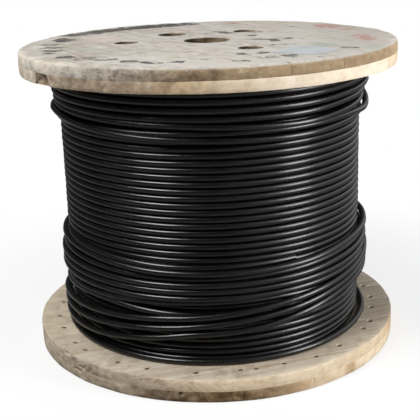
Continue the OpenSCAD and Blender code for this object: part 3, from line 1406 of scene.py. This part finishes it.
@dataclass
class CableWinding:
    """The cable on the drum: the wound body, its last full layer turn by turn, and the loose runs over it."""

    cable_r: float = 5.5 * MM
    bore_r: float = 175.3 * MM
    first_layer_r: float = 181.1 * MM
    layer_rise: float = 9.456 * MM
    layers: int = 9
    first_z: float = 43.8 * MM
    last_z: float = 482.2 * MM
    turns: int = 40
    per_turn: int = 120
    uneven_out: float = 0.75 * MM
    uneven_up: float = 0.8 * MM
    end_dive: float = 24 * MM
    top_runs: tuple[Strand, ...] = (
        Strand(((-170, 479, 264), (-110, 478, 269), (-60, 476, 270), (20, 474, 270), (110, 472, 270),
                (200, 470.5, 269.5), (250, 467, 272), (300, 466, 272), (330, 470, 272), (350, 472.5, 271),
                (380, 473, 270), (450, 468, 270), (549, 458.5, 268.5), (610, 454.5, 272), (660, 453, 272),
                (690, 456.5, 272), (710, 459, 272), (740, 459.5, 271), (810, 454, 270), (905, 447.5, 266.5),
                (970, 441.5, 269.5), (1020, 439.5, 271), (1050, 445, 269.5), (1070, 444.5, 265.5),
                (1100, 442, 265.5), (1170, 440, 266), (1269, 438, 265.5), (1330, 432, 269),
                (1380, 424, 270.5), (1410, 430, 269), (1428, 435, 264.5), (1445, 434, 265),
                (1475, 431, 266.5), (1530, 430, 267.5), (1605, 430, 269), (1629, 428.5, 272),
                (1645, 425, 270), (1660, 419, 269.5), (1690, 410.5, 269.5), (1740, 404.5, 269),
                (1768, 408, 266), (1790, 410.5, 261), (1815, 411, 254))),
        Strand(((-225, 420, 254), (-200, 420, 260), (-165, 419.5, 265), (-110, 418, 266), (-60, 417, 266.5),
                (-34, 418, 268), (-24, 416.5, 270), (-14, 415.5, 272), (-8, 420, 272.5), (0, 427, 272),
                (9, 431, 269), (18, 429, 263), (30, 426, 254))),
    )
    low_runs: tuple[Strand, ...] = (
        Strand(((-330, 58, 257), (-300, 64, 264), (-240, 80, 270), (-180, 95, 272), (-145, 105, 272),
                (-125, 111, 272), (-110, 117, 272.5), (-95, 122, 273), (-60, 138.3, 274), (-35, 149.4, 274),
                (40, 180, 272), (120, 201, 269), (165, 205, 268), (190, 206, 267.8), (215, 204.5, 268.5),
                (250, 196, 271), (300, 196.5, 271), (330, 206, 272), (400, 211, 270), (450, 214, 266),
                (490, 217, 256))),
        Strand(((-330, 47, 257), (-290, 54, 265), (-240, 66, 270), (-180, 78, 272), (-145, 85.8, 272),
                (-118, 97, 272), (-95, 107, 272.5), (-60, 123.7, 273), (-35, 137.3, 273), (40, 162, 271),
                (120, 175, 270.5), (210, 177, 271), (250, 175.2, 271), (300, 177.2, 271), (320, 181.7, 271),
                (400, 191, 270), (480, 195, 266), (520, 197, 256))),
        Strand(((-300, 45, 257), (-250, 50, 264), (-200, 56, 270), (-140, 66.6, 272), (-110, 83.8, 272),
                (-100, 90.9, 272), (-90, 93.9, 272), (-75, 99, 272), (-58, 111, 272.5), (-35, 125.2, 272),
                (40, 146, 271), (120, 159, 270), (210, 164, 270.5), (250, 164.5, 270.5), (300, 166, 270.5),
                (340, 170, 270), (420, 176, 268), (470, 180, 257))),
        Strand(((-190, 118, 257), (-160, 130, 264), (-135, 139, 268), (-90, 146, 267), (-40, 141, 264),
                (40, 138, 267), (120, 146, 270), (210, 152, 270.5), (250, 152.5, 270.5), (300, 155, 270.5),
                (340, 160, 269), (400, 165, 264), (430, 168, 256))),
        Strand(((-260, 90, 257), (-200, 112, 262), (-160, 126, 267), (-135, 132.5, 268), (-113, 127, 269),
                (-103, 125, 268), (-90, 121, 263), (-70, 119, 257))),
        Strand(((-175, 214, 257), (-150, 213, 264), (-110, 204.5, 266), (-85, 203, 263), (-60, 202, 257))),
        Strand(((-270, 43.8, 256), (-240, 43.7, 262), (-200, 43.6, 267), (-150, 43.6, 268),
                (-90, 43.6, 269.5), (-45, 43.6, 270.5), (-18, 43.6, 271), (5, 43.6, 269), (30, 43.7, 266),
                (60, 43.8, 262), (85, 43.9, 255))),
        Strand(((-230, 185, 257), (-190, 190, 264), (-150, 189, 267), (-110, 184.5, 265), (-60, 187, 266.5),
                (-30, 194, 267), (30, 198, 264), (80, 200, 257))),
    )

    def end_turns(self, height: float, side: int) -> list[tuple[float, float]]:
        """Draw the rounds of the winding's end, under the last layer and from the bore outwards.

        Args:
            height: Height of the end turns' middle.
            side: 1 for the upper end, and -1 for the lower one.

        Returns:
            Points as radius and height.
        """
        middles = [self.first_layer_r + k * self.layer_rise for k in range(self.layers - 1)]
        turns = [math.radians(degrees) for degrees in range(-60, 61, 20)]
        return [(middle + self.cable_r * math.sin(turn), height + side * self.cable_r * math.cos(turn))
                for middle in middles for turn in turns]

    def body(self) -> Shape:
        """Turn the wound body under the last layer, with the turns of each layer on its ends.

        Returns:
            The closed body with its bore.
        """
        lower, upper = self.end_turns(self.first_z, -1), self.end_turns(self.last_z, 1)
        outline = [(self.bore_r, self.first_z)] + lower + upper[::-1] + [(self.bore_r, self.last_z)]
        return turned(outline, 128, ring=True)

    def last_layer(self) -> list[Vector]:
        """Lay the last full layer as one helix, each turn a little uneven and both ends sunk.

        Returns:
            Points along the cable's middle.
        """
        radius = self.first_layer_r + (self.layers - 1) * self.layer_rise
        last, half_turn = self.turns - 1, self.per_turn // 2
        line = []
        for n in range(-half_turn, last * self.per_turn + half_turn + 1):
            turn = n / self.per_turn
            degrees = -90.0 - 360.0 * turn
            free = limited(min(turn, last - turn))
            z = self.first_z + (self.last_z - self.first_z) * limited(turn / last)
            sunk = max(0.0, -turn - 0.1, turn - last - 0.1) * self.end_dive
            spot = polar(1.6, degrees, turn * 0.83)
            out = radius - sunk + self.uneven_out * noise.noise(spot)
            lift = free * self.uneven_up * noise.noise(spot + Vector((5, 3, 9)))
            line.append(polar(out, degrees, z + lift))
        return line

    def tubes(self, name: str, paths: Sequence[list[Vector]]) -> Piece:
        """Run a round cable along each path.

        Args:
            name: Name of the piece.
            paths: Points along each cable's middle.

        Returns:
            The cables as one mesh.
        """
        curve = bpy.data.curves.new(name, "CURVE")
        curve.dimensions = "3D"
        curve.bevel_depth = self.cable_r
        curve.bevel_resolution = 2
        curve.use_fill_caps = True
        for path in paths:
            spline = curve.splines.new("POLY")
            spline.points.add(len(path) - 1)
            spline.points.foreach_set("co", [value for point in path for value in (*point, 1.0)])
        drawn = placed(name + "_line", curve)
        mesh = final_mesh(drawn)
        bpy.data.objects.remove(drawn)
        bpy.data.curves.remove(curve)
        mesh.name = name
        mesh.shade_smooth()
        return placed(name, mesh)

    def build(self, finish: Finish) -> None:
        """Model the winding and give it its finish.

        Args:
            finish: The cable's jacket.
        """
        body = as_object(self.body(), "wound_body")
        soften(body)
        dress(body, finish, "cable_jacket", "cable_winding")
        for name, paths in (("last_full_layer", [self.last_layer()]),
                            ("loose_upper_turns", [run.path() for run in self.top_runs]),
                            ("loose_lower_turns", [run.path() for run in self.low_runs])):
            dress(self.tubes(name, paths), finish, "cable_jacket")


# Studio


@dataclass(frozen=True)
class Softbox:
    """A soft rectangular lamp that faces the drum: its direction, distance, height, size and power."""

    name: str
    turn: float
    distance: float
    height: float
    width: float
    tall: float
    watts: float
    aim: float = 0.26

    def build(self) -> None:
        """Hang the lamp."""
        lamp = bpy.data.lights.new(self.name, "AREA")
        lamp.shape = "RECTANGLE"
        lamp.size, lamp.size_y, lamp.energy = self.width, self.tall, self.watts
        place = polar(self.distance, self.turn, self.height)
        facing = (Vector((0, 0, self.aim)) - place).to_track_quat("-Z", "Y")
        placed(self.name, lamp).matrix_world = Matrix.Translation(place) @ facing.to_matrix().to_4x4()


@dataclass
class Studio:
    """The pale floor, the white surroundings, the lamps and the camera."""

    floor_half: float = 20.0
    floor_z: float = -0.6 * MM
    floor_grey: Colour = srgb(150, 150, 150)
    floor_paint: Colour = srgb(246, 246, 246)
    shadow_reach: tuple[float, float] = (0.4, 0.9)
    floor_glow: float = 0.72
    ambient: float = 0.30
    dim_side: float = 0.06
    bright_side: float = 1.0
    bright_from: float = 0.1
    bright_to: float = 0.82
    lamps: tuple[Softbox, ...] = (
        Softbox("key_softbox", -27.5, 1.9, 0.72, 0.64, 1.2, 29.5),
        Softbox("fill_softbox", -141.0, 1.57, 2.0, 0.9, 0.82, 41.0),
        Softbox("top_softbox", 100.0, 0.7, 2.3, 1.4, 1.4, 4.0),
    )
    camera_back: float = 1.63832
    camera_up: float = 0.72110
    yaw: float = 0.191
    pitch: float = 17.094
    roll: float = -1.9785
    focal_pixels: float = 935.654
    frame_pixels: int = 420
    sensor: float = 36.0

    def floor(self) -> None:
        """Lay the floor, which shows the camera white but keeps the drum's shadow."""
        bm = bmesh.new()
        bmesh.ops.create_grid(bm, x_segments=1, y_segments=1, size=self.floor_half,
                              matrix=Matrix.Translation((0, 0, self.floor_z)))
        ground = as_object(bm, "floor")
        sheet = Sheet("floor_white")
        sheet.shade(base_color=self.floor_grey, roughness=0.9, specular_ior_level=0.1)
        glow = sheet.put("Emission", {"Color": WHITE, "Strength": 1.0}).outputs[0]
        paper = sheet.put("BsdfDiffuse", {"Color": self.floor_paint}).outputs[0]
        away = sheet.vector("LENGTH", sheet.object_place(), (0.0, 0.0, 0.0))
        glowing = sheet.step(away, *self.shadow_reach, self.floor_glow, 1.0)
        white = sheet.put("MixShader", {0: glowing, 1: paper, 2: glow}).outputs[0]
        seen = sheet.put("LightPath", {}).outputs["Is Camera Ray"]
        mixed = sheet.put("MixShader", {0: seen, 1: sheet.shader.outputs[0], 2: white}).outputs[0]
        sheet.plug(sheet.tree.nodes["Material Output"].inputs["Surface"], mixed)
        paint(ground, sheet.material)

    def surroundings(self) -> None:
        """Make the world white to the camera, a plain grey light, and brighter on one side in reflections."""
        world = bpy.data.worlds.new("studio_world")
        world.use_nodes = True
        bpy.context.scene.world = world
        nodes = Nodes(world.node_tree)
        rays = nodes.put("LightPath", {}).outputs
        across = nodes.part(nodes.put("TexCoord", {}).outputs["Generated"], 0)
        side = nodes.step(across, self.bright_from, self.bright_to, self.dim_side, self.bright_side)
        level: Source = self.ambient
        for ray, strength in (("Is Glossy Ray", side), ("Is Transmission Ray", 1.0), ("Is Camera Ray", 1.0)):
            level = nodes.put("Mix", {0: rays[ray], 2: level, 3: strength}).outputs[0]
        background = nodes.tree.nodes["Background"]
        nodes.plug(background.inputs["Color"], WHITE)
        nodes.plug(background.inputs["Strength"], level)

    def camera(self) -> None:
        """Stand the camera where the photograph was taken from."""
        data = bpy.data.cameras.new("camera")
        data.sensor_width = self.sensor
        data.lens = self.focal_pixels * self.sensor / self.frame_pixels
        data.clip_end = 50.0
        stand = placed("camera", data)
        stand.matrix_world = (Matrix.Translation((0, -self.camera_back, self.camera_up))
                              @ Matrix.Rotation(math.radians(self.yaw), 4, "Z")
                              @ Matrix.Rotation(math.radians(90 - self.pitch), 4, "X")
                              @ Matrix.Rotation(math.radians(self.roll), 4, "Z"))
        bpy.context.scene.camera = stand

    def build(self) -> None:
        """Set up the whole studio."""
        bpy.context.scene.view_settings.view_transform = "Standard"
        self.floor()
        self.surroundings()
        for lamp in self.lamps:
            lamp.build()
        self.camera()


FACE_INKS = (
    Ink(srgb(214, 190, 184), (
        Smudge(-190, 70, 45, 40, 0, 0.6), Smudge(-60, 175, 70, 35, 10, 0.5),
        Smudge(120, 225, 60, 30, -20, 0.5))),
    Ink(srgb(168, 180, 166), (
        Smudge(187, -118, 24, 26, 0, 0.9), Smudge(255, -165, 22, 24, 0, 0.7),
        Smudge(-110, -120, 80, 60, 0, 0.45), Smudge(-205, -60, 40, 40, 0, 0.5))),
    Ink(srgb(184, 138, 132), (
        Smudge(43, 266, 28, 18, 0, 0.7), Smudge(230, 150, 34, 44, 15, 0.75),
        Smudge(268, -36, 20, 56, 0, 0.8), Smudge(255, 90, 20, 30, 0, 0.6))),
    Ink(srgb(64, 62, 61), (
        Smudge(-250, 150, 30, 38, -30, 0.85), Smudge(-224, 176, 30, 36, -38, 0.85),
        Smudge(-192, 206, 33, 38, -46, 0.9), Smudge(-154, 232, 34, 38, -56, 1.0),
        Smudge(-115, 252, 38, 38, -65, 1.0), Smudge(-76, 265, 36, 36, -72, 1.0),
        Smudge(-40, 274, 32, 28, -80, 0.85), Smudge(-258, 72, 30, 30, 0, 0.95),
        Smudge(-272, 7, 26, 15, 0, 0.8), Smudge(-264, -35, 26, 14, 0, 0.8),
        Smudge(-258, -76, 24, 14, 0, 0.8), Smudge(-260, -112, 16, 12, 0, 0.7),
        Smudge(-226, -163, 18, 17, 0, 0.85), Smudge(-194, -185, 24, 18, 20, 0.8),
        Smudge(-159, -210, 18, 18, 0, 0.8), Smudge(-122, -238, 18, 14, 10, 0.85),
        Smudge(-92, -250, 13, 21, 30, 0.9), Smudge(-70, -258, 9, 14, -30, 0.8),
        Smudge(-48, -260, 13, 13, 0, 0.8), Smudge(53, -195, 14, 11, 0, 0.8),
        Smudge(85, -186, 12, 12, 0, 0.8), Smudge(92, -236, 15, 15, 25, 0.75),
        Smudge(124, -230, 17, 17, -25, 0.85), Smudge(53, -268, 18, 9, 0, 0.75),
        Smudge(4, 104, 9, 18, 0, 0.7), Smudge(28, 108, 13, 28, 25, 0.75), Smudge(50, 98, 11, 17, 0, 0.6),
        Smudge(92, 96, 13, 20, 0, 0.7), Smudge(82, 46, 15, 12, 0, 0.75), Smudge(88, -14, 20, 14, 0, 0.85),
        Smudge(112, -24, 16, 26, 20, 0.9), Smudge(138, -18, 13, 14, 0, 0.75),
        Smudge(108, -92, 8, 11, 0, 0.75), Smudge(124, -92, 8, 11, 0, 0.7), Smudge(138, -92, 8, 10, 0, 0.6),
        Smudge(163, 171, 9, 14, 0, 0.6), Smudge(218, -164, 19, 14, 0, 0.75),
        Smudge(170, -252, 8, 10, 0, 0.7), Smudge(-3, -236, 10, 8, 0, 0.65))),
)


def flange_woods() -> dict[Layer, Finish]:
    """Make the woods of the layers: inked on the upper face, plain below it, golden on the lower flange.

    Returns:
        The wood of each layer.
    """
    inked = WoodFinish("flange_wood_inked", worn=srgb(213, 209, 202), late=srgb(152, 134, 110),
                       rim=srgb(168, 138, 94), soil=srgb(112, 103, 90), stain=srgb(82, 65, 46),
                       soil_share=0.42, rim_share=0.78, inks=FACE_INKS).material()
    plain = WoodFinish("flange_wood_plain").material()
    golden = WoodFinish("flange_wood_golden", worn=srgb(194, 187, 175), fresh=srgb(236, 219, 193),
                        bleach=srgb(246, 229, 200), rim=srgb(198, 156, 100)).material()
    return {Layer.UPPER_OUTER: inked, Layer.UPPER_INNER: plain,
            Layer.LOWER_INNER: golden, Layer.LOWER_OUTER: golden}


def main() -> None:
    """Build and dress the drum, then the studio round it."""
    logging.basicConfig(level=logging.INFO, format="%(name)s: %(message)s")
    nail_steel = SteelFinish("nail_steel", rust_share=0.9, bright=srgb(56, 52, 49), rust=srgb(60, 42, 31))
    Flanges().build(flange_woods(), nail_steel.material())
    BlankLabel().build(PaperFinish().material())
    Barrel().dress(StaveFinish("stave_wood").material())
    TieRods().build(SteelFinish("rod_steel", rust_share=0.6).material(),
                    SteelFinish("nut_steel", rust_share=0.35).material())
    CableWinding().build(JacketFinish().material())
    Studio().build()


if __name__ == "__main__":
    main()
